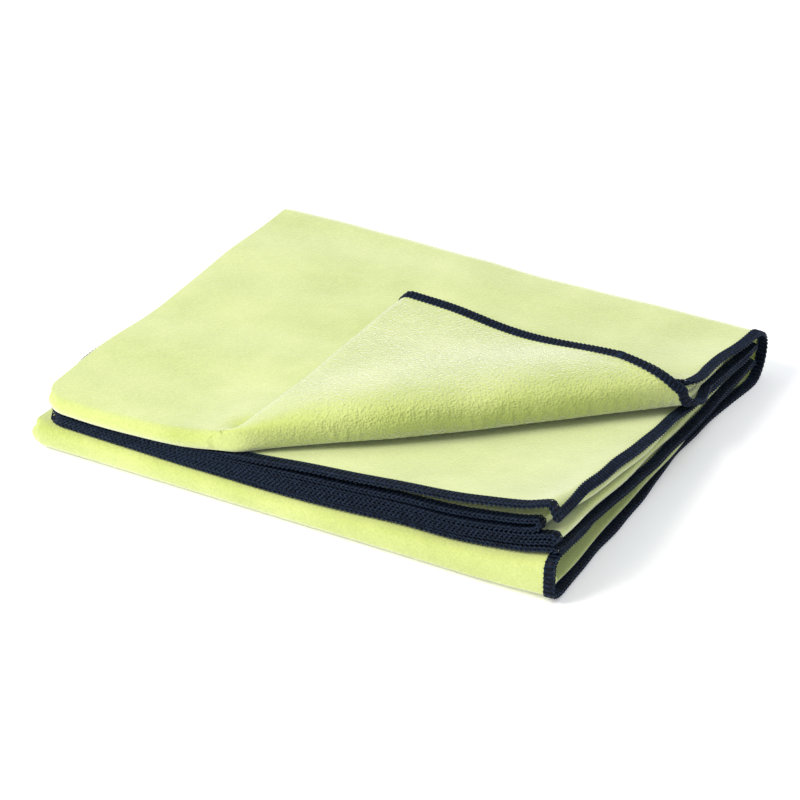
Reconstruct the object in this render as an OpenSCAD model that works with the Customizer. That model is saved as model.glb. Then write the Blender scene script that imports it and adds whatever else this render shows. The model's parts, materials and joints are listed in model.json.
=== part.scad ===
// A microfibre travel towel with overlocked edges, folded for packing.
// The cloth is folded in three across its width, and that strip is folded in six along its length.
// The pack lies flat on +Z up, with its front edge along X and its back fold at +Y.
// Leaves from the floor up: the bottom leaf, two middle leaves and the top leaf.
// The front right corner of the top leaf is turned back over itself.

/* [Towel] */
// Width of the towel laid out flat
towel_width = 762; // [700:1:820]
// Length of the towel laid out flat
towel_length = 1270; // [1200:1:1330]
// Height of the pack at its pressed back edge
back_height = 25.5; // [23:0.5:28]

/* [Open front corner] */
// Height of the middle leaves where the front right corner fans open
corner_height = 48; // [40:1:52]
// Height of the middle leaves at the front left corner
left_height = 18; // [16:0.5:20]
// How sharply the front edge rises to the right
rise_power = 1.25; // [1:0.05:1.6]
// Share of the depth over which the layers fan open
fan_depth = 0.6; // [0.4:0.05:0.8]

/* [Turned corner] */
// Where the crease meets the front edge, from the left end
crease_front = 99; // [90:1:120]
// Where the crease meets the right side, from the front edge
crease_side = 157; // [130:1:160]

/* [Hem] */
// Width of the overlocked edging
hem_width = 4; // [3:0.5:5]
// Gap left between neighbouring pieces
gap = 0.3; // [0.2:0.05:0.5]

/* [Hidden] */

width_folds = 3;
length_folds = 6;
pack_width = towel_width / width_folds;
pack_depth = towel_length / length_folds;
leaf_height = back_height / length_folds;      // one pass of the three-layer strip
left_x = -pack_width / 2;
right_x = pack_width / 2;
front_y = -pack_depth / 2;
back_y = pack_depth / 2;
fold_r = length_folds / 2 * leaf_height;       // outer radius of the back fold
fold_y = back_y - fold_r;                      // where the leaves turn into the back fold
middle_height = 4 * leaf_height;
top_thickness = 2 * leaf_height;
sheet_share = 1 / 3;                           // one cloth layer's share of a pass
inner_left = left_x + hem_width;
inner_right = right_x - hem_width;
inner_front = front_y + hem_width;
ROUND_FRONT = 6;
ROUND_SIDE = 1.5;

cloth_colour = [0.80, 0.88, 0.45];
hem_colour = [0.08, 0.12, 0.20];
X_AXIS = [1, 0, 0];
Y_AXIS = [0, 1, 0];

// Shares of the width and depth at a point
function across(x) = min(1, max(0, (x - left_x) / pack_width));
function along(y) = min(1, max(0, (y - front_y) / pack_depth));

// Top of the upper middle leaf: flat at the back, fanned open at the front right
function front_line(x) = left_height + (corner_height - left_height) * pow(across(x), rise_power);
function open_share(y) = pow(max(0, 1 - along(y) / fan_depth), 1.6);
function middle_top(x, y) = middle_height + (front_line(x) - middle_height) * open_share(y);
function fan(x, y) = max(0, (middle_top(x, y) - middle_height) / (corner_height - middle_height));

// Height of the face under pass k of the strip, counted from the floor; the middle leaves fan most
function face_z(k, x, y) =
    k <= 0 ? 0 :
    k >= 4 ? middle_top(x, y) + (k - 4) * leaf_height :
    middle_top(x, y) * (k / 4 - [0, 0.06, 0.12, 0.11][k] * fan(x, y));
// The same at a part of a pass: 3.5 is half-way up the pass above face 3
function level(q, x, y) = let (k = floor(q)) face_z(k, x, y) * (k + 1 - q) + face_z(k + 1, x, y) * (q - k);

// Grid lines that crowd towards a rounded end
function grid_lines(a, b, n, r) = concat(
    [a, a + 0.15 * r, a + 0.5 * r],
    [for (i = [0 : n]) a + r + (b - a - 2 * r) * i / n],
    [b - 0.5 * r, b - 0.15 * r, b]);
// Share of the thickness left at a distance from a rounded end
function end_round(d, r) = d >= r ? 1 : sqrt(max(0.06, 1 - pow(1 - d / r, 2)));

// A slab between two levels, rounded at its front and sides, set back from its neighbours above and below
module slab(x0, x1, y0, y1, low, high, front_r = 0.5, side_r = ROUND_SIDE, nx = 9, ny = 9) {
    xs = grid_lines(x0, x1, nx, side_r);
    ys = grid_lines(y0, y1, ny, front_r);
    under = low == 0 ? 0 : gap / 2;
    function mid(x, y) = (level(low, x, y) + level(high, x, y) + under - gap / 2) / 2;
    function half(x, y) = (level(high, x, y) - level(low, x, y) - under - gap / 2) / 2
        * end_round(min(x - x0, x1 - x), side_r) * end_round(y - y0, front_r);
    lows = [for (x = xs, y = ys) [x, y, low == 0 ? 0 : mid(x, y) - half(x, y)]];
    highs = [for (x = xs, y = ys) [x, y, mid(x, y) + half(x, y)]];
    across_n = len(xs);
    along_n = len(ys);
    top = across_n * along_n;
    function at(i, j) = i * along_n + j;
    low_faces = [for (i = [0 : across_n - 2], j = [0 : along_n - 2], h = [0, 1])
        h == 0 ? [at(i, j), at(i + 1, j + 1), at(i, j + 1)] : [at(i, j), at(i + 1, j), at(i + 1, j + 1)]];
    high_faces = [for (f = low_faces) [top + f[2], top + f[1], top + f[0]]];
    rim = concat(
        [for (i = [0 : across_n - 1]) at(i, 0)], [for (j = [1 : along_n - 1]) at(across_n - 1, j)],
        [for (i = [across_n - 2 : -1 : 0]) at(i, along_n - 1)], [for (j = [along_n - 2 : -1 : 1]) at(0, j)]);
    rim_faces = [for (k = [0 : len(rim) - 1], h = [0, 1]) let (a = rim[k], b = rim[(k + 1) % len(rim)])
        h == 0 ? [a, top + b, b] : [a, top + a, top + b]];
    polyhedron(points = concat(lows, highs), faces = concat(low_faces, high_faces, rim_faces));
}

// One leaf of cloth. Its folded sides reach the full width only over the layers that turn there:
// left_low to left_high on the left, right_low to right_high on the right
module leaf(y0, low, high, left_low, left_high, right_low, right_high, front_r) {
    slab(inner_left, inner_right, y0, fold_y, low, high, front_r, 0.4);
    slab(left_x, inner_left + 1, y0, fold_y, left_low, left_high, front_r, ROUND_SIDE, 1);
    slab(inner_right - 1, right_x, y0, fold_y, right_low, right_high, front_r, ROUND_SIDE, 1);
}

// A flat edging bead swept along [x, y, z, half thickness] points; flat_axis is across its width
module bead(path, flat_axis) {
    n = len(path);
    sides = 8;
    function place(i) = [path[i][0], path[i][1], path[i][2]];
    function tangent(i) = place(min(n - 1, i + 1)) - place(max(0, i - 1));
    rings = [for (i = [0 : n - 1]) let (t = tangent(i) / norm(tangent(i)), s = cross(t, flat_axis))
        for (k = [0 : sides - 1]) place(i)
            + path[i][3] * cos(360 * (k + 0.5) / sides) * s
            + (hem_width / 2 - gap) * sin(360 * (k + 0.5) / sides) * flat_axis];
    walls = [for (i = [0 : n - 2], k = [0 : sides - 1]) let (k2 = (k + 1) % sides)
        [i * sides + k, i * sides + k2, (i + 1) * sides + k2, (i + 1) * sides + k]];
    caps = [[for (k = [sides - 1 : -1 : 0]) k], [for (k = [0 : sides - 1]) (n - 1) * sides + k]];
    polyhedron(points = rings, faces = [for (f = concat(walls, caps)) [for (k = [len(f) - 1 : -1 : 0]) f[k]]]);
}

// Points along one cloth layer's edge. A layer is named by the level of its middle, such as 3.5
RUN_STEPS = 14;
TURN_STEPS = 6;
function half_bead(q, x, y) = 0.42 * sheet_share * (level(ceil(q), x, y) - level(floor(q), x, y));
function edge_point(q, x, y) = [x, y, level(q, x, y), half_bead(q, x, y)];
function x_run(q, x_from, x_to) =
    [for (i = [0 : RUN_STEPS]) edge_point(q, x_from + (x_to - x_from) * i / RUN_STEPS, front_y + hem_width / 2)];
function y_run(q, x, y_from, y_to) =
    [for (i = [0 : RUN_STEPS]) edge_point(q, x, y_from + (y_to - y_from) * i / RUN_STEPS)];
// A half turn between two layers; forward is the direction that the turn bulges in
function half_turn(q_from, q_to, x, y, forward) =
    let (z0 = level(q_from, x, y), z1 = level(q_to, x, y), r = abs(z1 - z0) / 2)
    [for (i = [1 : TURN_STEPS - 1]) let (a = 180 * i / TURN_STEPS)
        let (p = [x, y, (z0 + z1) / 2] + r * sin(a) * forward + [0, 0, (z0 - z1) / 2 * cos(a)])
        [p[0], p[1], p[2], min(half_bead(q_from, x, y), 0.8 * r)]];

layer = sheet_share;                           // levels between neighbouring layers
first = sheet_share / 2;                       // level of the middle of a pass's lowest layer

// The short hem of a middle leaf: one serpentine along the front through its three layers
module short_hem(q_start, q_step, start_x, other_x) {
    y = front_y + hem_width / 2;
    out = [start_x > other_x ? 1 : -1, 0, 0];
    bead(concat(
        x_run(q_start, start_x, other_x),
        half_turn(q_start, q_start + q_step, other_x, y, -out),
        x_run(q_start + q_step, other_x, start_x),
        half_turn(q_start + q_step, q_start + 2 * q_step, start_x, y, out),
        x_run(q_start + 2 * q_step, start_x, other_x)), Y_AXIS);
}

// The long hem at one side of a middle leaf
module side_hem(q, x, y_start) { bead(y_run(q, x, y_start, fold_y - gap), X_AXIS); }

// The long hem at one side of a leaf that is folded at its front
module folded_side_hem(q_low, q_high, x, y_front) {
    r = (level(q_high, x, y_front) - level(q_low, x, y_front)) / 2 + half_bead(q_low, x, y_front);
    turn_y = y_front + r;
    bead(concat(
        y_run(q_low, x, fold_y - gap, turn_y),
        half_turn(q_low, q_high, x, turn_y, -Y_AXIS),
        y_run(q_high, x, turn_y, fold_y - gap)), X_AXIS);
}

right_hem_x = right_x - hem_width / 2;
left_hem_x = left_x + hem_width / 2;
run_left = left_x + hem_width / 2;
run_right = right_x - 1.5 * hem_width;
right_hem_y = front_y + 2 * gap;               // the right hem takes the corner, the left one stops short
left_hem_y = inner_front + gap;

// The bottom leaf: two passes of the strip, joined by the lower front fold
module bottom_leaf_cloth() {
    color(cloth_colour) {
        slab(inner_left, inner_right, front_y, fold_y, 0, 2, ROUND_FRONT, 0.4);
        slab(left_x, inner_left + 1, front_y, fold_y, 0, 1 - layer, ROUND_FRONT, ROUND_SIDE, 1);
        slab(left_x, inner_left + 1, front_y, fold_y, 1 + layer, 2, ROUND_FRONT, ROUND_SIDE, 1);
        slab(inner_right - 1, right_x, front_y + ROUND_FRONT, fold_y, layer, 2 - layer, 2, ROUND_SIDE, 1);
    }
}
module bottom_leaf_right_hem() { color(hem_colour) folded_side_hem(first, 2 - first, right_hem_x, front_y); }
module bottom_leaf_left_hem() {
    color(hem_colour) folded_side_hem(1 - first, 1 + first, left_hem_x, front_y + ROUND_FRONT);
}

// The lower middle leaf: one pass, hemmed at its front, turned into the bottom leaf at the back
module lower_middle_leaf_cloth() {
    color(cloth_colour) {
        leaf(inner_front, 2, 3, 2, 3 - layer, 2 + layer, 3, 0.5);
        inner_fold(2 * leaf_height);
    }
}
module lower_middle_front_hem() { color(hem_colour) short_hem(3 - first, -layer, run_left, run_right); }
module lower_middle_right_hem() { color(hem_colour) side_hem(2 + first, right_hem_x, right_hem_y); }
module lower_middle_left_hem() { color(hem_colour) side_hem(3 - first, left_hem_x, left_hem_y); }

// The upper middle leaf: one pass, hemmed at its front, turned into the top leaf at the back
module upper_middle_leaf_cloth() {
    color(cloth_colour) {
        leaf(inner_front, 3, 4, 3 + layer, 4, 3, 4 - layer, 0.5);
        inner_fold(4 * leaf_height);
    }
}
module upper_middle_front_hem() { color(hem_colour) short_hem(4 - first, -layer, run_right, run_left); }
module upper_middle_right_hem() { color(hem_colour) side_hem(4 - first, right_hem_x, right_hem_y); }
module upper_middle_left_hem() { color(hem_colour) side_hem(3 + first, left_hem_x, left_hem_y); }

// A half-round fold hidden inside the back fold
module inner_fold(z) {
    translate([inner_left, fold_y, z]) rotate([90, 0, 90]) linear_extrude(inner_right - inner_left)
        intersection() {
            circle(r = leaf_height - gap / 2, $fn = 48);
            translate([0, -leaf_height]) square([leaf_height, 2 * leaf_height]);
        }
}

// The crease of the turned corner, and where the corner's tip lands when it is turned back
crease_a = [left_x + crease_front, front_y];
crease_b = [right_x, front_y + crease_side];
crease_unit = (crease_b - crease_a) / norm(crease_b - crease_a);
corner_from_a = [right_x, front_y] - crease_a;
corner_foot = crease_a + crease_unit * (corner_from_a * crease_unit);
tip = 2 * corner_foot - [right_x, front_y];
function top_point(p, lift) = [p[0], p[1], level(6, p[0], p[1]) + lift];

// The part of the top leaf that stays flat, behind the crease
module behind_crease() {
    inward = [-crease_unit[1], crease_unit[0]] * gap;
    linear_extrude(2 * corner_height) polygon([
        [left_x - 1, front_y - 1], [crease_a[0], front_y - 1] + inward, crease_a + inward,
        crease_b + inward, [right_x + 1, crease_b[1]] + inward, [right_x + 1, back_y], [left_x - 1, back_y]]);
}

// The top leaf: two passes, joined by the upper front fold
module top_leaf_cloth() {
    color(cloth_colour) intersection() {
        union() {
            slab(inner_left, inner_right, front_y, fold_y, 4, 6, ROUND_FRONT, 0.4);
            slab(left_x, inner_left + 1, front_y, fold_y, 4, 5 - layer, ROUND_FRONT, ROUND_SIDE, 1);
            slab(left_x, inner_left + 1, front_y, fold_y, 5 + layer, 6, ROUND_FRONT, ROUND_SIDE, 1);
            slab(inner_right - 1, right_x, front_y, fold_y, 4 + layer, 6 - layer, ROUND_FRONT, ROUND_SIDE, 1);
        }
        behind_crease();
    }
}
module top_leaf_right_hem() {
    y_start = crease_b[1] + hem_width;
    color(hem_colour) for (q = [4 + first, 6 - first]) bead(y_run(q, right_hem_x, y_start, fold_y - gap), X_AXIS);
}
module top_leaf_left_hem() {
    color(hem_colour) folded_side_hem(5 - first, 5 + first, left_hem_x, front_y + ROUND_FRONT);
}

// The turned corner: the top leaf's front right corner, folded back to lie on the rest
corner_r = top_thickness / 2;
corner_lift = 3 * gap;                         // clear of the leaf that it lies on
edge_in = corner_r + hem_width;
hem_unit = (crease_b - tip) / norm(crease_b - tip);
fold_unit = (tip - crease_a) / norm(tip - crease_a);
fold_slant = abs(crease_unit[0] * fold_unit[1] - crease_unit[1] * fold_unit[0]);
hem_slant = abs(crease_unit[0] * hem_unit[1] - crease_unit[1] * hem_unit[0]);
crease_clear = corner_r + 2 * gap;
fold_start = (crease_clear + corner_r * hem_slant) / fold_slant;
hem_stop = (crease_clear + edge_in * fold_slant) / hem_slant;
module turned_corner_cloth() {
    corners = [
        crease_a + fold_unit * fold_start + hem_unit * corner_r,
        tip - fold_unit * edge_in + hem_unit * corner_r,
        crease_b - hem_unit * hem_stop - fold_unit * edge_in];
    color(cloth_colour) hull()
        for (p = corners) translate(top_point(p, corner_r + corner_lift)) sphere(r = corner_r, $fn = 24);
}
module turned_corner_hem() {
    half = top_thickness / 2 * layer * 0.8;
    start = tip + hem_unit * 2 * gap - fold_unit * hem_width / 2;
    end = crease_b - hem_unit * hem_stop - fold_unit * hem_width / 2;
    across_hem = [fold_unit[0], fold_unit[1], 0];
    color(hem_colour) for (rise = [half + corner_lift, top_thickness + corner_lift - half])
        bead([for (i = [0 : RUN_STEPS]) let (p = start + (end - start) * i / RUN_STEPS)
            concat(top_point(p, rise), [half])], across_hem);
}

// The back fold: the strip wraps round from the top leaf to the bottom leaf
module back_ring(x0, x1, r_inner, r_outer) {
    translate([x0, fold_y, fold_r]) rotate([90, 0, 90]) linear_extrude(x1 - x0)
        intersection() {
            difference() {
                circle(r = r_outer, $fn = 72);
                circle(r = r_inner, $fn = 72);
            }
            translate([gap / 2, -fold_r]) square([fold_r, 2 * fold_r]);
        }
}
ring_inner = 2 * leaf_height + gap;
ring_outer = fold_r - gap / 2;
ring_layer = (ring_outer - ring_inner) * sheet_share;
module back_fold_cloth() {
    color(cloth_colour) {
        back_ring(inner_left, inner_right, ring_inner, ring_outer);
        back_ring(left_x, inner_left + gap, ring_inner + ring_layer + gap, ring_outer);
        back_ring(inner_right - gap, right_x, ring_inner, ring_outer - ring_layer - gap);
    }
}
module back_fold_right_hem() {
    color(hem_colour) back_ring(inner_right + gap, right_x, ring_outer - ring_layer, ring_outer);
}
module back_fold_left_hem() {
    color(hem_colour) back_ring(left_x, inner_left - gap, ring_inner, ring_inner + ring_layer);
}

bottom_leaf_cloth();
bottom_leaf_right_hem();
bottom_leaf_left_hem();
lower_middle_leaf_cloth();
lower_middle_front_hem();
lower_middle_right_hem();
lower_middle_left_hem();
upper_middle_leaf_cloth();
upper_middle_front_hem();
upper_middle_right_hem();
upper_middle_left_hem();
top_leaf_cloth();
top_leaf_right_hem();
top_leaf_left_hem();
turned_corner_cloth();
turned_corner_hem();
back_fold_cloth();
back_fold_right_hem();
back_fold_left_hem();
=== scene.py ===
import json
import math

import bmesh
import bpy
import numpy as np
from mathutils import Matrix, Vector


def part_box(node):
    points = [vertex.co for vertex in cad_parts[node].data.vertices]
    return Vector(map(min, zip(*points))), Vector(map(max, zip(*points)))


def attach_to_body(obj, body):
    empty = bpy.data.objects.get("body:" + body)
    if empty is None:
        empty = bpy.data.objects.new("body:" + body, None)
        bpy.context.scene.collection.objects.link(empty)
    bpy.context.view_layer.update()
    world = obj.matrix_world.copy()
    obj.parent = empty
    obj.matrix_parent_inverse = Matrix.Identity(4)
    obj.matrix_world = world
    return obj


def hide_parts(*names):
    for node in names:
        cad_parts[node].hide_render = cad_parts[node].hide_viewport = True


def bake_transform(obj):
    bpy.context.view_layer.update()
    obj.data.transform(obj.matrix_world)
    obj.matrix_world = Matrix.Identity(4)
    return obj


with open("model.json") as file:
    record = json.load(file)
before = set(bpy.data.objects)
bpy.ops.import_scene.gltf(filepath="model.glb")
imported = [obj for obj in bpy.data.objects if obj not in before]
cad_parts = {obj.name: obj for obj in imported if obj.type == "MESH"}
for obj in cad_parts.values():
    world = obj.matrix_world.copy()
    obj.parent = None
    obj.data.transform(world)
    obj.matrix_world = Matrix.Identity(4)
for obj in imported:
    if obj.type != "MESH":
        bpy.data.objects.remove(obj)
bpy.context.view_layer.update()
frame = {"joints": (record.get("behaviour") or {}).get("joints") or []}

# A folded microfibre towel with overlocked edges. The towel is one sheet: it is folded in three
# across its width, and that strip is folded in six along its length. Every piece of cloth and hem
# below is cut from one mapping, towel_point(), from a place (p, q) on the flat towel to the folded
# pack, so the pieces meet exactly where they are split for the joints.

MM = 0.001

# ---------------------------------------------------------------- sizes, from the frame
LEFT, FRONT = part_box("bottom_leaf_cloth")[0][:2]
RIGHT = -LEFT
BACK_LOW, BACK_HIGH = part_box("back_fold_cloth")
WRAP_BULGE = 5.5 * MM                   # how far the wrap bulges out at the back
BACK = BACK_HIGH.y + WRAP_BULGE
BACK_HEIGHT = BACK_HIGH.z + BACK_LOW.z
PACK_WIDTH = RIGHT - LEFT
PACK_DEPTH = BACK - FRONT
LAYERS = 18
SLOT = BACK_HEIGHT / LAYERS             # height of one cloth layer at the pressed back edge
TOWEL_WIDTH = 3 * PACK_WIDTH
TOWEL_LENGTH = 1270 * MM
CLOTH_T = 1.0 * MM

CORNER_JOINT = next(j for j in frame["joints"] if j["name"] == "corner_fold")
CREASE_AT = np.array(CORNER_JOINT["pos_m"][:2])
CREASE_DIR = np.array(CORNER_JOINT["axis"][:2]) / math.hypot(*CORNER_JOINT["axis"][:2])
CREASE_OUT = np.array([CREASE_DIR[1], -CREASE_DIR[0]])      # towards the front right corner
CREASE_START = CREASE_AT - CREASE_DIR * (CREASE_AT[1] - FRONT) / CREASE_DIR[1]


def curve(x, stops, values):
    """A smooth line through (stops, values), level beyond both ends."""
    stops, values = np.asarray(stops, float), np.asarray(values, float)
    slopes = np.gradient(values, stops)
    slopes[0] = slopes[-1] = 0
    x = np.clip(x, stops[0], stops[-1])
    i = np.clip(np.searchsorted(stops, x, side="right") - 1, 0, len(stops) - 2)
    gap = stops[i + 1] - stops[i]
    t = (x - stops[i]) / gap
    return (values[i] * (1 + 2 * t) * (1 - t) ** 2 + values[i + 1] * t * t * (3 - 2 * t)
            + gap * slopes[i] * t * (1 - t) ** 2 - gap * slopes[i + 1] * t * t * (1 - t))


def smooth(t):
    t = np.clip(t, 0, 1)
    return t * t * (3 - 2 * t)


def wave(u, lengths, seed):
    """A smooth wandering line between about -1 and 1 along u, repeatable for each seed."""
    total = 0
    for k, length in enumerate(lengths):
        total = total + np.sin(2 * np.pi * u / length + 1.7 * seed + 2.3 * k * (seed + 1))
    return total / len(lengths)


# ---------------------------------------------------------------- how the pack is fanned open
# Along the front edge: places across in mm, and the heights in mm under and over the middle leaves
LOW_LINE = ((-127, -68, -42, 6, 55, 84, 110, 127),
            (14.0, 13.2, 12.8, 12.8, 15.2, 16.0, 19.7, 23.4))
HIGH_LINE = ((-127, -68, -42, -28, 6, 55, 90, 110, 127),
             (21.6, 22.0, 23.6, 25.4, 29.6, 34.3, 38.8, 42.8, 48.0))
LOW_POWER, HIGH_POWER = 2.2, 1.6        # how fast each line sinks to the pressed height behind the front
# Slots are the layers counted from the floor, at their middles: 0-5 are the bottom leaf, 6-11 the
# middle leaves, 12-17 the top leaf. For the first two: their share of the height, pressed and fanned
LEAF_LAYERS = 6
LOW_SLOTS = (-0.5, 0, 1, 2, 3, 4, 5, 5.5)
LOW_SHUT = (0, 0.115, 0.27, 0.43, 0.585, 0.74, 0.905, 1)
LOW_OPEN = (0, 0.11, 0.165, 0.24, 0.77, 0.86, 0.945, 1)
HIGH_SLOTS = (5.5, 6, 7, 8, 9, 10, 11, 11.5)
HIGH_SHUT = (0, 1 / 12, 3 / 12, 5 / 12, 7 / 12, 9 / 12, 11 / 12, 1)
HIGH_OPEN = (0, 0.07, 0.205, 0.33, 0.455, 0.635, 0.94, 1)
LOW_LOOSE, HIGH_LOOSE = 8 * MM, 14 * MM  # height over the pressed one at which they are fully fanned
PUFF, PUFF_REACH = 0.25, 26 * MM        # extra thickness of the top leaf beside its crease
SOFT_X, SOFT_Y = 0.45 * MM, 0.35 * MM   # soft waves over the cloth, across and along


def across(x):
    return np.clip((x - LEFT) / PACK_WIDTH, 0, 1)


def fanned(x, y, layers, line, power):
    """Height of the face over some layers: pressed flat at the back, on the front line at the front."""
    pressed = layers * SLOT
    opening = np.clip((BACK - y) / PACK_DEPTH, 0, 1) ** power
    return pressed + (curve(x / MM, *line) * MM - pressed) * opening


def behind_crease(x, y):
    """Distance behind the crease line, negative in front of it."""
    return (CREASE_AT[0] - x) * CREASE_OUT[0] + (CREASE_AT[1] - y) * CREASE_OUT[1]


def height(s, x, y):
    """Height of slot s, the s-th layer from the floor, at a place. Slots need not be whole."""
    s, x, y = np.broadcast_arrays(s, x, y)
    low = fanned(x, y, LEAF_LAYERS, LOW_LINE, LOW_POWER)
    high = fanned(x, y, 2 * LEAF_LAYERS, HIGH_LINE, HIGH_POWER)
    loose = np.clip((low - LEAF_LAYERS * SLOT) / LOW_LOOSE, 0, 1)
    shut, fan = np.interp(s, LOW_SLOTS, LOW_SHUT), np.interp(s, LOW_SLOTS, LOW_OPEN)
    bottom = low * (shut * (1 - loose) + fan * loose)
    loose = np.clip((high - low - LEAF_LAYERS * SLOT) / HIGH_LOOSE, 0, 1)
    shut, fan = np.interp(s, HIGH_SLOTS, HIGH_SHUT), np.interp(s, HIGH_SLOTS, HIGH_OPEN)
    middle = low + (high - low) * (shut * (1 - loose) + fan * loose)
    puffed = 1 + PUFF * np.exp(-(np.maximum(0, behind_crease(x, y)) / PUFF_REACH) ** 2)
    top = high + (s - HIGH_SLOTS[-1]) * SLOT * puffed
    z = np.where(s < LOW_SLOTS[-1], bottom, np.where(s < HIGH_SLOTS[-1], middle, top))
    soft = SOFT_X * wave(x + 0.3 * y, (0.11, 0.067, 0.043), 1) + SOFT_Y * wave(y - 0.2 * x, (0.09, 0.052), 2)
    return z + soft * np.clip(s / LAYERS, 0, 1)


# ---------------------------------------------------------------- the folds, in order along the towel
# Each pass of the strip: slot of its first layer, and the step to its next layer
PASSES = [(11, -1), (12, 1), (17, -1), (0, 1), (5, -1), (6, 1)]
PASS_LENGTHS = [199, 195, 195, 194, 194, 200]       # with the turns, shared out over the towel's length
TURN_LENGTHS = [8, 9, 40, 14, 8]
SIDE_TURN = 4 * MM                      # cloth that turns at a side fold
HEM_PASS = (TOWEL_WIDTH - 2 * SIDE_TURN) / 3
P_STOPS = np.cumsum([0, HEM_PASS, SIDE_TURN, HEM_PASS, SIDE_TURN, HEM_PASS])
SPANS = [length for pair in zip(PASS_LENGTHS, TURN_LENGTHS + [0]) for length in pair][:-1]
Q_STOPS = np.concatenate([[0], np.cumsum(SPANS)]) * TOWEL_LENGTH / sum(SPANS)
FIRST_TOP_SPAN, LAST_TOP_SPAN, BACK_SPAN, LAST_SPAN = 2, 4, 5, 10

# Where the edges of each pass lie in from the sides of the pack, in mm, from the front to the back
RIGHT_HEM = ((1.0, 1.6, 1.0, 1.8, 1.0, 1.2), (1.4, 1.4, 1.4, 1.4, 1.4, 1.2),
             (2.5, 2.5, 2.5, 2.4, 1.6, -0.5), (1.0, 2.0, 2.4, 5.0, 4.0, -0.5),
             (1.0, 3.5, 4.0, 3.0, 2.5, 2.0), (0.6, 1.4, 0.8, 0.6, 1.2, 1.6))
LEFT_FOLD = ((6.0, 2.0, 3.5, 4.0, 3.5, 3.0), (4.9, 2.6, 4.4, 3.8, 2.6, 2.5),
             (4.5, 2.2, 4.0, 3.4, 2.2, 2.0), (-1.5, -0.5, 0.5, 0.5, 0.5, 0.5),
             (-1.5, 0.0, 1.5, 1.0, 1.0, 2.0), (5.5, 2.0, 2.0, 1.0, 1.0, 2.0))
RIGHT_FOLD = ((11.3, 6, 5, 5.5, 6, 7), (6, 6, 6, 6, 6, 7), (6, 6, 6, 6, 7, 10),
              (6, 6, 6, 6, 7, 10), (6, 6, 6, 6, 6, 7), (2.9, 5, 5, 5.5, 6, 7))
LEFT_HEM = ((8, 3, 4, 4, 4, 4), (5, 0.8, 3.6, 5, 5, 5), (5, 0, 3.2, 5, 5, 5),
            (3, 3, 3, 3, 3, 4), (3, 3, 3, 3, 3, 4), (8, 3, 3, 3, 3, 4))
TURN_Y = BACK - LAYERS / 2 * SLOT       # where the leaves turn into the back folds
INNER_TURN = 4 * MM                     # how far the small back folds reach into the wrap
FRONT_TURN_LAYERS = 2.5                 # a front fold is this many layers deep
BOTTOM_FRONT, BOTTOM_FRONT_RIGHT = 1.9 * MM, 1.0 * MM   # how far the bottom leaf hangs out, and at the right
HEM_FRONT = FRONT + 1.2 * MM
# Across in mm, and how far the top leaf's front fold hangs out over the leaves below, in mm
TOP_FRONT = ((-127, -80, -53, -34, 127), (3.2, 4.2, 2.8, 0.6, 0.3))
# The same for the bulge of the back folds beyond their lines
BACK_BULGE = ((-127, -63, 0, 46, 105, 127), (4.5, 4.0, 1.5, 0.0, 0.0, -1.2))
FRONT_ROUND = (8, 11, 11, 4, 4, 8)      # radius in mm of each pass's front left corner, seen from above
BACK_ROUND = 8

AXIS_SLOT = 17.9                        # the crease's axis, just above the top layer
# By the distance along the crease from the front: how far the roll's outer layer bulges, and the
# cloth taken up by the roll's outer and inner layers, all in mm
ROLL_ALONG = (-6, 45, 65, 112, 144, 165, 178, 192, 222)
ROLL_BULGE = (1.5, 14, 18.2, 20.2, 21.3, 21.8, 22, 21.8, 20.5)
ROLL_OUTER = (4.5, 8.5, 9.6, 14.6, 31.2, 39.2, 42, 41.5, 38.4)
ROLL_INNER = (4.5, 8.5, 9.6, 14.6, 31.2, 38, 40, 36, 27)
INNER_BULGE = (0.15, 0.15, 0.15, 0.15, 0.2, 0.3, 0.4, 0.5, 0.55)  # the inner layer's share of that bulge
ROLL_RISE = (0.03, 0.8, 0.95, 1, 1, 1, 1, 1, 1)                  # the flap's share of its full height
ROLL_CUTS = 8
ROLL_SQUARE = (0.36, 0.8)               # under 1, the roll's lower and upper half are squarer than an ellipse
TOP_SLOTS = (12, 17)
NOT_ROLLED = -99.0                      # for cloth outside the top leaf, which never meets the crease
# The crease leaves the front edge in a curve: where it starts and ends along it, and how far it swings
BEND_START, BEND_END, BEND = -5.6 * MM, 8 * MM, 5.7 * MM
DROOP, DROOP_WIDTH, DROOP_REACH = 8.5 * MM, 5 * MM, 36 * MM     # the first pass's front corner hangs down
DENT, DENT_AT, DENT_SIZE = 4.0 * MM, (-26 * MM, FRONT + 10 * MM), 6 * MM    # a dent where the crease starts
CURL, CURL_WIDTH = 1.4 * MM, 8 * MM     # the turned corner's hem curls up
CURL_FROM, CURL_OVER = 20, 3            # in slots
NORMAL_STEP = 0.25 * MM


def place_in(stops, value):
    """Which span between stops a value is in, and how far along it."""
    span = np.clip(np.searchsorted(stops, value, side="right") - 1, 0, len(stops) - 2)
    return span, np.clip((value - stops[span]) / (stops[span + 1] - stops[span]), 0, 1)


def by_pass(q, lines):
    """The line of the pass that q lies in, in metres, blended from pass to pass through each fold."""
    span, t = place_in(Q_STOPS, q)
    value = np.zeros_like(t)
    for i, line in enumerate(lines):
        depth = t if i % 2 == 0 else 1 - t
        value = np.where(span == 2 * i, curve(depth, np.linspace(0, 1, len(line)), line), value)
        if 2 * i < LAST_SPAN:
            end = -1 if i % 2 == 0 else 0
            value = np.where(span == 2 * i + 1, line[end] + (lines[i + 1][end] - line[end]) * t, value)
    return value * MM


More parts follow.
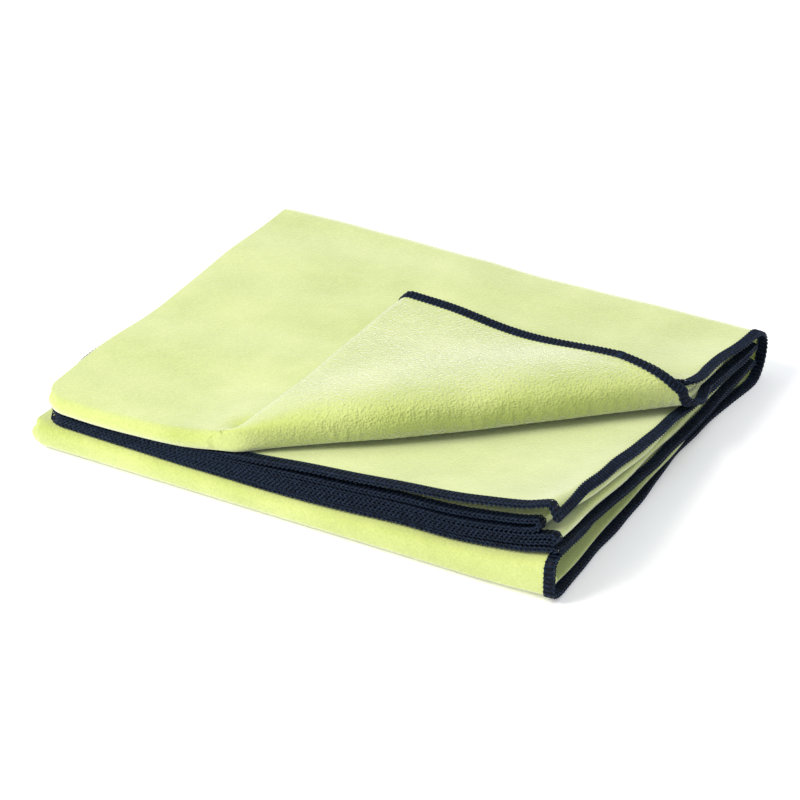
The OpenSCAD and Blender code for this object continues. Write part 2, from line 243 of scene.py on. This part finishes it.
def side_fold(p, q):
    """Where p lies across the strip: x, the layer (0, 1, 2), how far the fold bulges in half slots, and
    the x of the left fold."""
    right_hem = RIGHT - by_pass(q, RIGHT_HEM) + 0.5 * MM * wave(q, (0.083, 0.047, 0.029), 3)
    left_fold = LEFT + by_pass(q, LEFT_FOLD) + 0.3 * MM * wave(q, (0.12, 0.071), 4)
    right_fold = RIGHT - by_pass(q, RIGHT_FOLD) + 0.6 * MM * wave(q, (0.094, 0.053), 5)
    left_hem = LEFT + by_pass(q, LEFT_HEM) + 0.5 * MM * wave(q, (0.11, 0.06), 6)
    span, t = place_in(P_STOPS, p)
    turn = np.pi * t
    x = np.select([span == 0, span == 1, span == 2, span == 3],
                  [right_hem + (left_fold - right_hem) * t, left_fold,
                   left_fold + (right_fold - left_fold) * t, right_fold],
                  right_fold + (left_hem - right_fold) * t)
    layer = np.select([span == 0, span == 1, span == 2, span == 3],
                      [0 * t, 0.5 - 0.5 * np.cos(turn), 0 * t + 1, 1.5 - 0.5 * np.cos(turn)], 0 * t + 2)
    bulge = np.select([span == 1, span == 3], [-np.sin(turn), np.sin(turn)], 0 * t)
    return x, layer, bulge, left_fold


def end_fold(p, q, x, layer):
    """Where q lies along the folded strip: the slot, y and its span of q."""
    span, t = place_in(Q_STOPS, q)
    top_turn = FRONT - curve(x / MM, *TOP_FRONT) * MM + FRONT_TURN_LAYERS * SLOT
    bottom_pitch = fanned(x, FRONT, LEAF_LAYERS, LOW_LINE, LOW_POWER) / LEAF_LAYERS
    bottom_out = BOTTOM_FRONT + BOTTOM_FRONT_RIGHT * across(x) ** 2
    bottom_turn = FRONT - bottom_out + FRONT_TURN_LAYERS * bottom_pitch
    hem_y = HEM_FRONT + 0.4 * MM * wave(p, (0.19, 0.11), 7)
    slot = np.zeros_like(x)
    y = np.zeros_like(x)
    back_turn = TURN_Y + curve(x / MM, *BACK_BULGE) * MM
    small_turn = back_turn + INNER_TURN
    starts = [hem_y, small_turn, top_turn, back_turn, bottom_turn, small_turn]
    ends = [small_turn, top_turn, back_turn, bottom_turn, small_turn, hem_y]
    for i, (base, step) in enumerate(PASSES):
        here = span == 2 * i
        slot = np.where(here, base + step * layer, slot)
        y = np.where(here, starts[i] + (ends[i] - starts[i]) * t, y)
    for i in range(len(TURN_LENGTHS)):
        here = span == 2 * i + 1
        s0 = PASSES[i][0] + PASSES[i][1] * layer
        s1 = PASSES[i + 1][0] + PASSES[i + 1][1] * layer
        middle, half = (s0 + s1) / 2, (s1 - s0) / 2
        turn_y = ends[i] + 0 * x
        tall = height(np.maximum(s0, s1), x, turn_y) - height(np.minimum(s0, s1), x, turn_y)
        pitch = tall / np.abs(s1 - s0)
        outward = 1 if i % 2 == 0 else -1
        slot = np.where(here, middle - half * np.cos(np.pi * t), slot)
        y = np.where(here, turn_y + outward * np.abs(half) * pitch * np.sin(np.pi * t), y)
    return slot, y, span


def round_corner(x, y, left, edge, inward, radius):
    """Round a square corner at the left, seen from above."""
    u = np.clip(1 - (x - left) / radius, 0, 1)
    v = np.clip(1 - inward * (y - edge) / radius, 0, 1)
    return (x + radius * u * (1 - np.sqrt(1 - v * v / 2)),
            y + inward * radius * v * (1 - np.sqrt(1 - u * u / 2)))


def in_top_leaf(slot):
    """0 at the top leaf's lowest layer, 1 at its highest."""
    return np.clip((slot - TOP_SLOTS[0]) / (TOP_SLOTS[1] - TOP_SLOTS[0]), 0, 1)


def towel_place(p, q):
    """The folded place of (p, q): x, y, slot, its span of q, and how far it has gone through the roll
    at the crease, which is below 0 behind it and above 1 on the turned corner."""
    p, q = np.broadcast_arrays(np.asarray(p, float), np.asarray(q, float))
    x, layer, bulge, left = side_fold(p, q)
    slot, y, span = end_fold(p, q, x, layer)
    pitch = height(slot + 0.5, x, y) - height(slot - 0.5, x, y)
    x = x + bulge * 0.5 * pitch
    x, y = round_corner(x, y, left, FRONT, 1, np.array(FRONT_ROUND)[span // 2] * MM)
    x, y = round_corner(x, y, left, BACK, -1, BACK_ROUND * MM)
    along = (x - CREASE_START[0]) * CREASE_DIR[0] + (y - CREASE_START[1]) * CREASE_DIR[1]
    past = BEND * np.clip((BEND_END - along) / (BEND_END - BEND_START), 0, 1) ** 2 - behind_crease(x, y)
    inner = in_top_leaf(slot)
    outer_roll = curve(along / MM, ROLL_ALONG, ROLL_OUTER)
    inner_roll = curve(along / MM, ROLL_ALONG, ROLL_INNER)
    roll = (outer_roll * (1 - inner) + inner_roll * inner) * MM
    inner_bulge = curve(along / MM, ROLL_ALONG, INNER_BULGE)
    roll_bulge = curve(along / MM, ROLL_ALONG, ROLL_BULGE) * MM * (1 - inner + inner * inner_bulge)
    in_top = (span >= FIRST_TOP_SPAN) & (span <= LAST_TOP_SPAN)
    rolled = np.where(in_top, past / roll, NOT_ROLLED)
    turn = np.pi * np.clip(rolled, 0, 1)
    forward = np.where(rolled < 1, roll_bulge * np.sin(turn), roll - past)
    folded = rolled > 0
    x = np.where(folded, x + (forward - past) * CREASE_OUT[0], x)
    y = np.where(folded, y + (forward - past) * CREASE_OUT[1], y)
    level = np.abs(np.cos(turn))
    upper = -curve(along / MM, ROLL_ALONG, ROLL_RISE) * level ** ROLL_SQUARE[1]
    rise = np.where(turn < np.pi / 2, level ** ROLL_SQUARE[0], upper)
    slot = np.where(folded, AXIS_SLOT - (AXIS_SLOT - slot) * rise, slot)
    return x, y, slot, span, rolled


def towel_point(p, q):
    """The folded position of (p, q), as an array of x, y, z."""
    x, y, slot, span, rolled = towel_place(p, q)
    hang = DROOP * smooth((x - RIGHT + DROOP_WIDTH) / DROOP_WIDTH) * np.exp(-(y - FRONT) / DROOP_REACH)
    far = ((x - DENT_AT[0]) / DENT_SIZE) ** 2 + ((y - DENT_AT[1]) / DENT_SIZE) ** 2
    dent = DENT * np.exp(-far) * in_top_leaf(slot) * smooth(1 - 2 * rolled)
    upturned = smooth((slot - CURL_FROM) / CURL_OVER) * (rolled > 0.5)
    curl = CURL * np.clip(1 - p / CURL_WIDTH, 0, 1) ** 2 * upturned
    return np.stack([x, y, height(slot, x, y) - hang * (span == 0) - dent + curl], axis=-1)


def towel_frame(p, q):
    """Position, and the unit normal that points out of the towel's outer face."""
    step = NORMAL_STEP
    here = towel_point(p, q)
    du = towel_point(np.minimum(p + step, TOWEL_WIDTH), q) - towel_point(np.maximum(p - step, 0), q)
    dv = towel_point(p, np.minimum(q + step, TOWEL_LENGTH)) - towel_point(p, np.maximum(q - step, 0))
    normal = np.cross(dv, du)
    return here, normal / np.maximum(np.linalg.norm(normal, axis=-1, keepdims=True), 1e-12)


# ---------------------------------------------------------------- cutting the sheet into pieces
LOWER, UPPER, BACK_FOLD, ROLL, CORNER = range(5)
GRID_STEP, QUICK_GRID_STEP = 3.6 * MM, 6 * MM
SIDE_TURN_STEPS, END_TURN_STEPS = (8, 8), (8, 10, 22, 14, 8)


def region_of(p, q):
    *_, span, rolled = towel_place(p, q)
    region = np.where(span > BACK_SPAN, LOWER, UPPER)
    region = np.where(span == BACK_SPAN, BACK_FOLD, region)
    region = np.where(rolled > 0, ROLL, region)
    return np.where(rolled >= 1, CORNER, region)


def grid_line(stops, step, turn_steps):
    """Values along one side of the flat towel: even steps on flat cloth, and fine ones in each fold."""
    line = [stops[0]]
    for i in range(len(stops) - 1):
        n = turn_steps[i // 2] if i % 2 else max(1, round((stops[i + 1] - stops[i]) / step))
        line += list(stops[i] + (stops[i + 1] - stops[i]) * np.arange(1, n + 1) / n)
    return np.array(line)


def cut_flat_sheet(step):
    """The flat towel as vertices (p, q) and faces, cut in even lines through the roll at the crease."""
    ps = grid_line(P_STOPS, step, SIDE_TURN_STEPS)
    qs = grid_line(Q_STOPS, step, END_TURN_STEPS)
    pp, qq = np.meshgrid(ps, qs, indexing="ij")
    index = np.arange(pp.size).reshape(pp.shape)
    quads = np.stack([index[:-1, :-1], index[1:, :-1], index[1:, 1:], index[:-1, 1:]], axis=-1)
    bm = bmesh.new()
    verts = [bm.verts.new((a, b, 0)) for a, b in zip(pp.ravel(), qq.ravel())]
    for quad in quads.reshape(-1, 4):
        bm.faces.new([verts[i] for i in quad])
    for cut in range(ROLL_CUTS + 1):
        co = np.array([v.co[:2] for v in bm.verts])
        rolled = towel_place(co[:, 0], co[:, 1])[-1]
        value = rolled - cut / ROLL_CUTS
        bm.verts.index_update()
        crossing = []
        for e in bm.edges:
            ends = [v.index for v in e.verts]
            va, vb = value[ends]
            if va * vb < 0 and rolled[ends].min() > NOT_ROLLED / 2:
                crossing.append((e, e.verts[0], va / (va - vb)))
        cuts = [bmesh.utils.edge_split(e, v, f)[1] for e, v, f in crossing]
        bmesh.ops.connect_verts(bm, verts=cuts)
    bm.verts.index_update()
    flat = np.array([v.co[:2] for v in bm.verts])
    faces = [[v.index for v in f.verts] for f in bm.faces]
    bm.free()
    return flat, faces


def mesh_object(name, verts, faces, material, normals=None):
    """A mesh object. normals, if given, holds one normal for each vertex, used on all but the rim faces."""
    mesh = bpy.data.meshes.new(name)
    mesh.from_pydata([tuple(v) for v in verts], [], faces)
    mesh.materials.append(material)
    mesh.polygons.foreach_set("use_smooth", [True] * len(mesh.polygons))
    mesh.update()
    if normals is not None:
        rim = len(normals) // 2
        by_corner = []
        for poly in mesh.polygons:
            ends = [v < rim for v in poly.vertices]
            one_side = all(ends) or not any(ends)
            by_corner += [tuple(normals[v]) if one_side else tuple(poly.normal) for v in poly.vertices]
        mesh.normals_split_custom_set(by_corner)
    obj = bpy.data.objects.new(name, mesh)
    bpy.context.scene.collection.objects.link(obj)
    return obj


def cloth_piece(name, faces, points, normals, material):
    """A closed piece of cloth from mid-surface faces, with its real thickness."""
    used = sorted({v for f in faces for v in f})
    local = {v: i for i, v in enumerate(used)}
    n = len(used)
    face_ids = [[local[v] for v in f] for f in faces]
    top = points[used] + normals[used] * CLOTH_T / 2
    bottom = points[used] - normals[used] * CLOTH_T / 2
    shell = [f[::-1] for f in face_ids] + [[v + n for v in f] for f in face_ids]
    count = {}
    for f in face_ids:
        for a, b in zip(f, f[1:] + f[:1]):
            key = (min(a, b), max(a, b))
            count[key] = None if key in count else (a, b)
    rim = [(a, b, b + n, a + n) for edge in count.values() if edge for a, b in [edge]]
    return mesh_object(name, np.concatenate([top, bottom]), shell + rim, material,
                       np.concatenate([normals[used], -normals[used]]))


# ---------------------------------------------------------------- overlocked edging
STITCH = 2.2 * MM
HEM_IN, HEM_OUT = 3.7 * MM, 0.55 * MM   # how far the thread reaches over the cloth, and beyond its edge
HEM_HALF, HEM_PRESSED = 1.3 * MM, 0.98 * MM     # half the thickness of a loose edge, and of a pressed one
HEM_OF_PITCH = 0.6                      # that half, as a share of the room between layers
NEAR_EDGE, INSIDE_STEP = 1 * MM, 3 * MM
# The thread's parts, with heights in half thicknesses of the hem
CORE_SIDES, CORE_TOP, CORE_SQUARE, CORE_IN = 12, 0.80, 0.6, 0.2 * MM
CORE_STEP, PLAIN_CORE_STEP = 0.9 * MM, 1.6 * MM
RIB_RADIUS, RIB_SQUARE, RIB_LEAN = 0.30 * MM, 0.7, 0.16       # the zigzag over both faces
RIB_DIP, RIB_DIP_FROM, RIB_DIP_OVER = 0.45, 0.4 * MM, 1.0 * MM  # it comes down at the cloth's edge
CHAIN_RADIUS, CHAIN_OUT, CHAIN_LOW, CHAIN_SPREAD = 0.34 * MM, 0.1 * MM, 0.16, 0.62
CHAIN_LEG, CHAIN_TUCK = 0.75, 0.7 * MM  # the edge's chain of loops: length of a leg, and how deep it tucks in
DASH_RADIUS, DASH_IN, DASH_LOW, DASH_ARC = 0.26 * MM, 0.4 * MM, 0.62, 0.36    # the needle line


def edge_track(p, q):
    """Positions, inward and normal directions, distance and half thickness along an edge of the towel."""
    inset_p = np.where(p < NEAR_EDGE, 1.0, np.where(p > TOWEL_WIDTH - NEAR_EDGE, -1.0, 0.0))
    inset_q = np.where(q < NEAR_EDGE, 1.0, np.where(q > TOWEL_LENGTH - NEAR_EDGE, -1.0, 0.0))
    if abs(p[-1] - p[0]) > abs(q[-1] - q[0]):
        inset_p = 0 * inset_p
    else:
        inset_q = 0 * inset_q
    here, normal = towel_frame(p, q)
    inside = towel_point(p + inset_p * INSIDE_STEP, q + inset_q * INSIDE_STEP) - here
    tangent = np.gradient(here, axis=0)
    tangent /= np.linalg.norm(tangent, axis=1, keepdims=True)
    inside -= (inside * tangent).sum(1, keepdims=True) * tangent
    inside /= np.linalg.norm(inside, axis=1, keepdims=True)
    normal = np.cross(tangent, inside) * np.sign((np.cross(tangent, inside) * normal).sum(1, keepdims=True))
    x, y, slot, *_ = towel_place(p, q)
    pitch = height(slot + 0.5, x, y) - height(slot - 0.5, x, y)
    half = np.clip(HEM_OF_PITCH * pitch, HEM_PRESSED, HEM_HALF)
    along_edge = np.concatenate([[0], np.cumsum(np.linalg.norm(np.diff(here, axis=0), axis=1))])
    return along_edge, here, inside, normal, half


def tube_faces(rings, sides):
    """Faces of a closed tube of so many rings, each of so many sides."""
    ring = np.arange(sides)
    base = (np.arange(rings - 1) * sides)[:, None]
    after = (ring + 1) % sides
    faces = np.stack([base + ring, base + after, base + sides + after, base + sides + ring], axis=-1)
    ends = [list(range(sides))[::-1], list(range((rings - 1) * sides, rings * sides))]
    return faces.reshape(-1, 4).tolist() + ends


def squared(wave_value, power):
    """A sine or cosine with its shoulders pushed out, for a power under 1."""
    return np.sign(wave_value) * np.abs(wave_value) ** power


def sweep(centres, ups, radius, sides):
    """A tube along centres. ups is a direction near each point that is never along the tube."""
    tangent = np.gradient(centres, axis=0)
    tangent /= np.maximum(np.linalg.norm(tangent, axis=1, keepdims=True), 1e-12)
    side = np.cross(tangent, ups)
    side /= np.maximum(np.linalg.norm(side, axis=1, keepdims=True), 1e-12)
    up = np.cross(side, tangent)
    angle = 2 * np.pi * np.arange(sides) / sides
    rings = centres[:, None] + radius * (np.cos(angle)[None, :, None] * side[:, None]
                                         + np.sin(angle)[None, :, None] * up[:, None])
    return rings.reshape(-1, 3), tube_faces(len(centres), sides)


class Overlock:
    """Collects the threads of one hem piece, in coordinates (s along, b inwards, c up) of its edge."""

    def __init__(self, track):
        self.s, self.at, self.inside, self.normal, self.half = track
        self.verts, self.faces, self.count, self.core_faces = [], [], 0, 0

    def world(self, s, b, c):
        """Places on the hem, and the normals there."""
        at = np.stack([np.interp(s, self.s, self.at[:, k]) for k in range(3)], axis=-1)
        inside = np.stack([np.interp(s, self.s, self.inside[:, k]) for k in range(3)], axis=-1)
        normal = np.stack([np.interp(s, self.s, self.normal[:, k]) for k in range(3)], axis=-1)
        half = np.interp(s, self.s, self.half)
        return at + inside * b[:, None] + normal * (c * half)[:, None], normal

    def add(self, verts, faces):
        self.verts.append(verts)
        self.faces += [[v + self.count for v in f] for f in faces]
        self.count += len(verts)

    def thread(self, s, b, c, radius, sides):
        self.add(*sweep(*self.world(s, b, c), radius, sides))

    def core(self, step):
        """The dense body of thread that wraps the cloth's edge."""
        s = np.arange(self.s[0], self.s[-1], step)
        angle = np.linspace(0, 2 * np.pi, CORE_SIDES, endpoint=False)
        b_mid, b_half = (HEM_IN - HEM_OUT) / 2, (HEM_IN + HEM_OUT) / 2 - CORE_IN
        shape_b = b_mid - b_half * squared(np.cos(angle), CORE_SQUARE)
        shape_c = CORE_TOP * squared(np.sin(angle), CORE_SQUARE)
        lines = [self.world(s, np.full_like(s, b), np.full_like(s, c))[0] for b, c in zip(shape_b, shape_c)]
        self.add(np.stack(lines, axis=1).reshape(-1, 3), tube_faces(len(s), CORE_SIDES))
        self.core_faces = len(self.faces)

    def stitches(self, detail):
        """The threads that show: the zigzag, the chain of loops on the edge, and the needle line."""
        length = self.s[-1] - self.s[0]
        count = max(2, round(length / STITCH))
        pitch = length / count
        per_rib, per_chain, per_dash = (10, 8, 6) if detail else (6, 5, 4)
        t = np.linspace(0, count, count * per_rib + 1)
        for face_side, shift in ((1, 0.0), (-1, 0.25)):
            b = (HEM_IN - HEM_OUT) / 2 + (HEM_IN + HEM_OUT) / 2 * squared(np.cos(2 * np.pi * t), RIB_SQUARE)
            rise = CORE_TOP - RIB_DIP * np.clip((RIB_DIP_FROM - b) / RIB_DIP_OVER, 0, 1)
            s = self.s[0] + np.clip(t + shift + RIB_LEAN * np.sin(2 * np.pi * t), 0, count) * pitch
            self.thread(s, b, face_side * rise, RIB_RADIUS, 5)
        t = np.linspace(0, count, count * per_chain + 1)
        leg = t % 1
        spread = np.where(leg < CHAIN_LEG, leg / CHAIN_LEG, (1 - leg) / (1 - CHAIN_LEG))
        tucked = CHAIN_TUCK * np.sin(np.pi * np.clip((leg - CHAIN_LEG) / (1 - CHAIN_LEG), 0, 1))
        for face_side in (1, -1):
            self.thread(self.s[0] + t * pitch, tucked - HEM_OUT - CHAIN_OUT,
                        face_side * (CHAIN_LOW + CHAIN_SPREAD * spread), CHAIN_RADIUS, 6)
        if detail:
            t = np.linspace(0, count, count * per_dash + 1)
            c = DASH_LOW + DASH_ARC * np.abs(np.sin(np.pi * t))
            for face_side in (1, -1):
                self.thread(self.s[0] + t * pitch, np.full_like(t, HEM_IN - DASH_IN), face_side * c,
                            DASH_RADIUS, 5)

    def build(self, name, thread, core):
        verts = np.concatenate(self.verts)
        verts[:, 2] = np.maximum(verts[:, 2], 0)        # the lowest hem is pressed on the table
        obj = mesh_object(name, verts, self.faces, thread)
        # The core's material is the same navy thread painted much darker: painted shade in the gaps between
        # the stitches
        obj.data.materials.append(core)
        is_core = np.arange(len(self.faces)) < self.core_faces
        obj.data.polygons.foreach_set("material_index", is_core.astype(np.int32))
        return obj


def hem_piece(name, p, q, detail):
    hem = Overlock(edge_track(p, q))
    hem.core(CORE_STEP if detail else PLAIN_CORE_STEP)
    hem.stitches(detail)
    return hem.build(name, THREAD, SHADED_THREAD_CORE)


# ---------------------------------------------------------------- materials
NAP, NAP_ON_ROLL, NAP_RISE = 0.27, 0.9, 45 * MM     # bump strength, and over what length it rises


def new_material(name):
    material = bpy.data.materials.new(name)
    material.use_nodes = True
    nodes, links = material.node_tree.nodes, material.node_tree.links
    return material, nodes, links, nodes["Principled BSDF"]


def set_inputs(node, **values):
    """Set inputs by name, with _ in place of the spaces."""
    for name, value in values.items():
        node.inputs[name.replace("_", " ")].default_value = value


def noise(nodes, links, coords, scale, detail, roughness):
    node = nodes.new("ShaderNodeTexNoise")
    set_inputs(node, Scale=scale, Detail=detail, Roughness=roughness)
    links.new(coords.outputs["Object"], node.inputs["Vector"])
    return node


def ramp(nodes, links, source, dark, light):
    node = nodes.new("ShaderNodeValToRGB")
    for element, place, colour in zip(node.color_ramp.elements, (0.3, 0.7), (dark, light)):
        element.position, element.color = place, (*colour, 1)
    links.new(source, node.inputs["Fac"])
    return node


def bump(nodes, links, source, strength, distance, before=None):
    node = nodes.new("ShaderNodeBump")
    set_inputs(node, Strength=strength, Distance=distance)
    links.new(source, node.inputs["Height"])
    if before:
        links.new(before.outputs["Normal"], node.inputs["Normal"])
    return node


def along_crease(nodes, links, coords, low, high):
    """A value that rises from low to high over the first part of the crease, from the front."""
    dot = nodes.new("ShaderNodeVectorMath")
    dot.operation = "DOT_PRODUCT"
    dot.inputs[1].default_value = (*CREASE_DIR, 0)
    links.new(coords.outputs["Object"], dot.inputs[0])
    value = nodes.new("ShaderNodeMapRange")
    start = float(CREASE_START @ CREASE_DIR)
    set_inputs(value, From_Min=start, From_Max=start + NAP_RISE, To_Min=low, To_Max=high)
    links.new(dot.outputs["Value"], value.inputs["Value"])
    return value.outputs["Result"]


def cloth_material(name, nap, nap_on_roll=None):
    """Brushed microfibre: fine looped nap, a soft sheen and a slightly uneven lime dye."""
    material, nodes, links, shader = new_material(name)
    coords = nodes.new("ShaderNodeTexCoord")
    patches = noise(nodes, links, coords, 30, 4, 0.6)
    colour = ramp(nodes, links, patches.outputs["Fac"], (0.41, 0.49, 0.122), (0.515, 0.59, 0.192))
    fibres = noise(nodes, links, coords, 900, 3, 0.6)
    tint = nodes.new("ShaderNodeMixRGB")
    tint.blend_type = "OVERLAY"
    tint.inputs["Fac"].default_value = 0.22
    links.new(colour.outputs["Color"], tint.inputs["Color1"])
    links.new(fibres.outputs["Fac"], tint.inputs["Color2"])
    links.new(tint.outputs["Color"], shader.inputs["Base Color"])
    set_inputs(shader, Roughness=0.92, Specular_IOR_Level=0.2, Sheen_Weight=1.0, Sheen_Roughness=0.5,
               Sheen_Tint=(1.0, 1.0, 1.0, 1))
    loops = noise(nodes, links, coords, 800, 2, 0.5)
    tufts = nodes.new("ShaderNodeTexVoronoi")
    tufts.inputs["Scale"].default_value = 900
    links.new(coords.outputs["Object"], tufts.inputs["Vector"])
    first = bump(nodes, links, tufts.outputs["Distance"], nap, 0.5 * MM)
    second = bump(nodes, links, loops.outputs["Fac"], nap, 0.5 * MM, first)
    if nap_on_roll:
        for node in (first, second):
            links.new(along_crease(nodes, links, coords, nap, nap_on_roll), node.inputs["Strength"])
    fine = bump(nodes, links, fibres.outputs["Fac"], 0.3, 0.2 * MM, second)
    links.new(fine.outputs["Normal"], shader.inputs["Normal"])
    return material


def thread_material(name, dark, light):
    """Navy polyester thread, with the twist of its plies as fine ribs."""
    material, nodes, links, shader = new_material(name)
    coords = nodes.new("ShaderNodeTexCoord")
    shade = noise(nodes, links, coords, 700, 3, 0.6)
    colour = ramp(nodes, links, shade.outputs["Fac"], dark, light)
    links.new(colour.outputs["Color"], shader.inputs["Base Color"])
    set_inputs(shader, Roughness=0.5, Specular_IOR_Level=0.1, Sheen_Weight=0.02, Sheen_Roughness=0.4,
               Sheen_Tint=(0.45, 0.6, 1.0, 1))
    plies = noise(nodes, links, coords, 2600, 2, 0.5)
    twist = bump(nodes, links, plies.outputs["Fac"], 0.5, 0.15 * MM)
    links.new(twist.outputs["Normal"], shader.inputs["Normal"])
    return material


# ---------------------------------------------------------------- building the towel
CLOTH = cloth_material("brushed_microfibre", NAP)
CORNER_CLOTH = cloth_material("brushed_microfibre_loops", NAP, NAP_ON_ROLL)
THREAD = thread_material("navy_thread", (0.0015, 0.004, 0.010), (0.014, 0.028, 0.058))
# The core thread is painted darker than the stitches over it: painted shade in the gaps between them
SHADED_THREAD_CORE = thread_material("navy_thread_core_painted_shade", (0.001, 0.002, 0.005), (0.003, 0.005, 0.012))

flat, faces = cut_flat_sheet(GRID_STEP)
points, normals = towel_frame(flat[:, 0], flat[:, 1])
centres = np.array([flat[f].mean(0) for f in faces])
face_region = region_of(centres[:, 0], centres[:, 1])

BODIES = {LOWER: ("lower_half",), UPPER: ("upper_half",), CORNER: ("turned_corner",),
          BACK_FOLD: ("lower_half", "upper_half"), ROLL: ("upper_half", "turned_corner")}
CLOTH_NAMES = {LOWER: "lower_leaves", UPPER: "upper_leaves", BACK_FOLD: "back_spine",
               ROLL: "corner_roll", CORNER: "corner_flap"}
CLOTH_NODES = {LOWER: ("bottom_leaf_cloth", "lower_middle_leaf_cloth"),
               UPPER: ("upper_middle_leaf_cloth", "top_leaf_cloth"),
               BACK_FOLD: ("back_fold_cloth",), CORNER: ("turned_corner_cloth",), ROLL: ()}

axis = np.array(CORNER_JOINT["axis"])
out3 = np.append(CREASE_OUT, 0)
crease_up = np.cross(axis, -out3)
crease_up /= np.linalg.norm(crease_up)
# The crease's up direction, leaned away from the corner by ROLL_LEAN and scaled to the top leaf's height at
# the crease; nothing below uses it
ROLL_LEAN = math.radians(30)
roll_half = crease_up * math.cos(ROLL_LEAN) - out3 * math.sin(ROLL_LEAN)
roll_half *= (AXIS_SLOT - TOP_SLOTS[0]) * SLOT * (1 + PUFF) * math.cos(ROLL_LEAN)


def attach(obj, region, nodes):
    bodies = BODIES[region]
    if len(bodies) == 1:
        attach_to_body(obj, bodies[0])
    else:
        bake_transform(obj)
    if nodes:
        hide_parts(*nodes)


cloths = {}
for region, name in CLOTH_NAMES.items():
    chosen = [f for f, r in zip(faces, face_region) if r == region]
    material = CORNER_CLOTH if region in (ROLL, CORNER) else CLOTH
    cloths[region] = cloth_piece(name + "_cloth", chosen, points, normals, material)
    attach(cloths[region], region, CLOTH_NODES[region])

flat_areas = np.zeros(len(CLOTH_NAMES))
for f, r in zip(faces, face_region):
    a = flat[f]
    flat_areas[r] += 0.5 * abs(np.dot(a[:, 0], np.roll(a[:, 1], 1)) - np.dot(a[:, 1], np.roll(a[:, 0], 1)))

EDGE_STEP = 0.5 * MM
LAP = 3                                 # steps by which a run of hem passes under the next one
SHORTEST_RUN = 6                        # in steps
HEMS = []
for edge, p_at in (("right", 0.0), ("left", TOWEL_WIDTH)):
    q_line = np.arange(0, TOWEL_LENGTH, EDGE_STEP)
    code = region_of(np.full_like(q_line, p_at), q_line)
    breaks = [0, *(np.flatnonzero(np.diff(code)) + 1), len(q_line)]
    for start, stop in zip(breaks, breaks[1:]):
        if stop - start > SHORTEST_RUN:
            q_run = q_line[max(0, start - LAP):stop + LAP]
            HEMS.append((edge, code[start], np.full_like(q_run, p_at), q_run))
p_line = np.arange(0, TOWEL_WIDTH, EDGE_STEP)
HEMS.append(("front_upper", UPPER, p_line, np.zeros_like(p_line)))
HEMS.append(("front_lower", LOWER, p_line, np.full_like(p_line, TOWEL_LENGTH)))

HEM_NODES = {
    ("right", LOWER): ("bottom_leaf_right_hem", "lower_middle_right_hem"),
    ("right", UPPER): ("upper_middle_right_hem", "top_leaf_right_hem"),
    ("right", CORNER): ("turned_corner_hem",),
    ("right", BACK_FOLD): ("back_fold_right_hem",),
    ("left", LOWER): ("bottom_leaf_left_hem", "lower_middle_left_hem"),
    ("left", UPPER): ("upper_middle_left_hem", "top_leaf_left_hem"),
    ("left", BACK_FOLD): ("back_fold_left_hem",),
    ("front_upper", UPPER): ("upper_middle_front_hem",),
    ("front_lower", LOWER): ("lower_middle_front_hem",)}
seen = {}
hems_on = {}
for edge, region, p_run, q_run in HEMS:
    key = (edge, int(region))
    seen[key] = seen.get(key, 0) + 1
    name = f"{edge}_hem_{CLOTH_NAMES[region]}_{seen[key]}"
    hem = hem_piece(name, p_run, q_run, edge != "left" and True)
    attach(hem, region, HEM_NODES.get(key, ()) if seen[key] == 1 else ())
    hems_on.setdefault(int(region), []).append(hem)

# ---------------------------------------------------------------- floor, light and camera
floor_material, *_, floor_shader = new_material("floor")
set_inputs(floor_shader, Base_Color=(0.93, 0.93, 0.93, 1), Roughness=0.9, Specular_IOR_Level=0.1,
           Emission_Color=(1, 1, 1, 1), Emission_Strength=0.19)     # a lit table, so shadows stay pale
FLOOR_HALF = 6
floor_corners = [(x * FLOOR_HALF, y * FLOOR_HALF, 0) for x, y in ((-1, -1), (1, -1), (1, 1), (-1, 1))]
floor = mesh_object("floor", floor_corners, [(0, 1, 2, 3)], floor_material)

scene = bpy.context.scene
scene.view_settings.view_transform = "Standard"
world = bpy.data.worlds.new("studio")
world.use_nodes = True
set_inputs(world.node_tree.nodes["Background"], Color=(0.96, 0.985, 1.04, 1), Strength=0.64)
scene.world = world


def look_rotation(direction):
    return Vector(direction).to_track_quat("-Z", "Y").to_euler()


def area_light(name, place, size, watts, colour):
    """A round light that faces the middle of the pack."""
    data = bpy.data.lights.new(name, "AREA")
    data.color = colour
    data.shape = "DISK"
    data.size = size
    data.energy = watts
    light = bpy.data.objects.new(name, data)
    light.location = place
    light.rotation_euler = look_rotation(-np.array(place))
    scene.collection.objects.link(light)


area_light("key", (-0.75, -1.0, 1.1), size=0.9, watts=29, colour=(1.0, 0.94, 0.87))
area_light("top", (0.5, 0.9, 1.4), size=1.2, watts=8, colour=(0.97, 1.0, 1.0))

AZIMUTH, ELEVATION, DISTANCE = math.radians(28.79), math.radians(30.44), 1.300
LENS, SENSOR = 132.93, 36.0             # in mm
AIM = np.array([9.1, -22.9, 20.0]) * MM
back = np.array([math.sin(AZIMUTH) * math.cos(ELEVATION), -math.cos(AZIMUTH) * math.cos(ELEVATION),
                 math.sin(ELEVATION)])
camera_data = bpy.data.cameras.new("camera")
camera_data.lens = LENS
camera_data.sensor_width = SENSOR
camera_data.clip_start = 0.05
camera = bpy.data.objects.new("camera", camera_data)
camera.location = AIM + back * DISTANCE
camera.rotation_euler = look_rotation(-back)
scene.collection.objects.link(camera)
scene.camera = camera
